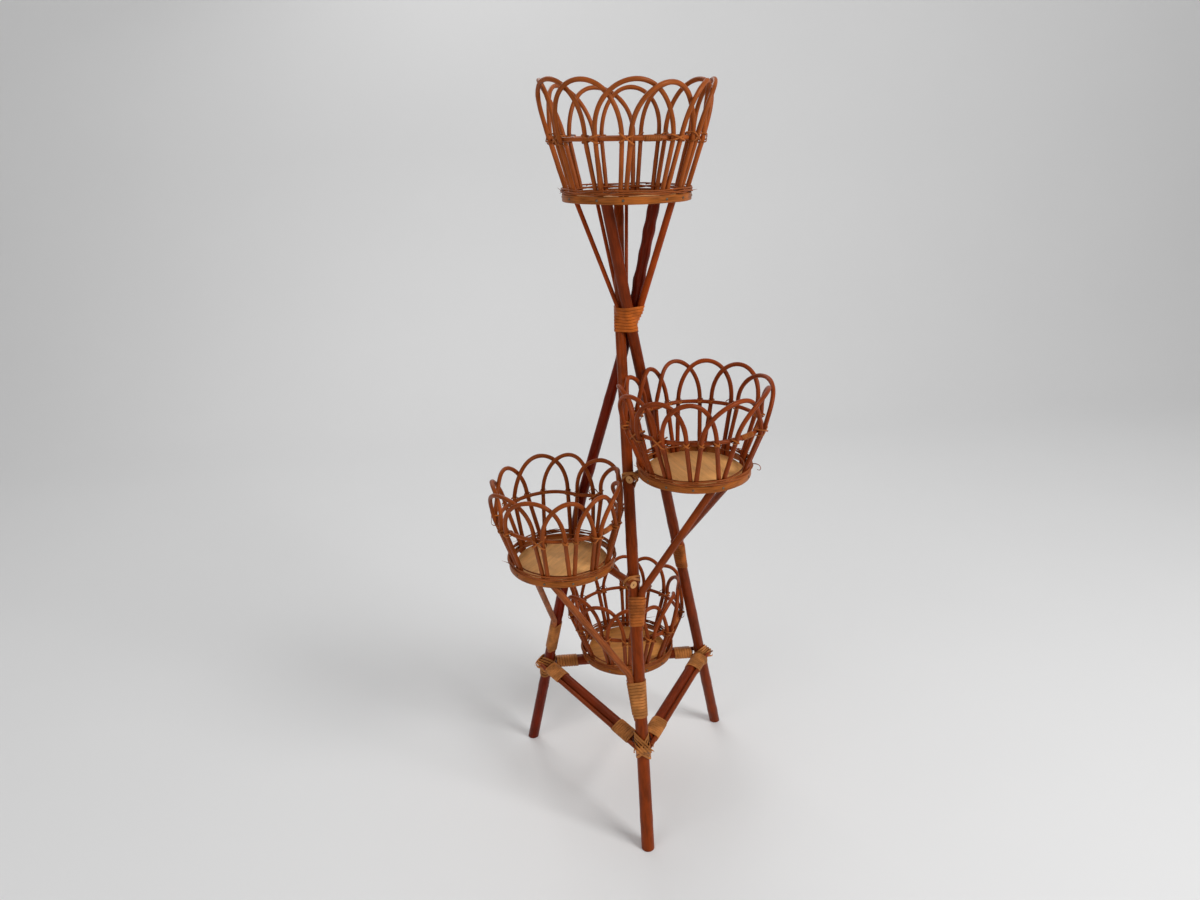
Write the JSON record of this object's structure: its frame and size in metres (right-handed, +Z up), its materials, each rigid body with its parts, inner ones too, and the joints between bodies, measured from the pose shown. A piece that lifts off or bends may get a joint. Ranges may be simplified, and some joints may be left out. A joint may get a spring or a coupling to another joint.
{
  "type": "plant stand",
  "caption": "Tall wicker tripod plant stand with round openwork baskets set at stepped heights, bound with cane.",
  "frame": {"origin": "on the floor, under the middle of the whole stand's bounding box", "axes": "+Z up along the tripod, +X to the viewer's right, -Y towards the viewer in front of the single front leg"},
  "size_m": [0.394, 0.383, 1.0717],
  "materials": {
    "pole_willow": "varnished reddish-brown willow poles, semi-gloss",
    "stake_willow": "varnished brown willow rods, semi-gloss",
    "lashing_cane": "split cane lashings, satin",
    "hoop_veneer": "bent wooden hoops, satin",
    "board_ply": "pale plywood boards, matt",
    "weave_strand": "thin willow strands, satin",
    "nail_steel": "small nail heads, dull"
  },
  "bodies": {
    "root": {"bottom_arches": "stake_willow", "bottom_board": "board_ply", "bottom_hoop": "hoop_veneer", "bottom_ring": "stake_willow", "bottom_ring_winding": "lashing_cane", "bottom_weave": "weave_strand", "corner_cane": "stake_willow", "corner_tie_front": "lashing_cane", "corner_tie_left": "lashing_cane", "corner_tie_right": "lashing_cane", "crown_lashing": "lashing_cane", "crown_strut_left": "stake_willow", "crown_strut_rear": "stake_willow", "crown_strut_rear_left": "stake_willow", "crown_strut_right": "stake_willow", "hoop_nails": "nail_steel", "lashing_left_front": "lashing_cane", "lashing_left_rear": "lashing_cane", "lashing_rear_left": "lashing_cane", "lashing_rear_right": "lashing_cane", "lashing_right_front": "lashing_cane", "lashing_right_rear": "lashing_cane", "left_arches": "stake_willow", "left_arm": "pole_willow", "left_arm_tie": "lashing_cane", "left_board": "board_ply", "left_hoop": "hoop_veneer", "left_long_brace": "stake_willow", "left_long_brace_lashing": "lashing_cane", "left_ring": "stake_willow", "left_ring_winding": "lashing_cane", "left_short_brace": "stake_willow", "left_short_brace_lashing": "lashing_cane", "left_weave": "weave_strand", "leg_front": "pole_willow", "leg_rear_left": "pole_willow", "leg_rear_right": "pole_willow", "right_arches": "stake_willow", "right_arm": "pole_willow", "right_arm_tie": "lashing_cane", "right_board": "board_ply", "right_hoop": "hoop_veneer", "right_long_brace": "stake_willow", "right_long_brace_lashing": "lashing_cane", "right_ring": "stake_willow", "right_ring_winding": "lashing_cane", "right_short_brace": "stake_willow", "right_short_brace_lashing": "lashing_cane", "right_weave": "weave_strand", "stretcher_left": "pole_willow", "stretcher_rear": "pole_willow", "stretcher_right": "pole_willow", "top_arches": "stake_willow", "top_board": "board_ply", "top_hoop": "hoop_veneer", "top_ring": "stake_willow", "top_ring_winding": "lashing_cane", "top_weave": "weave_strand"}
  },
  "joints": []
}
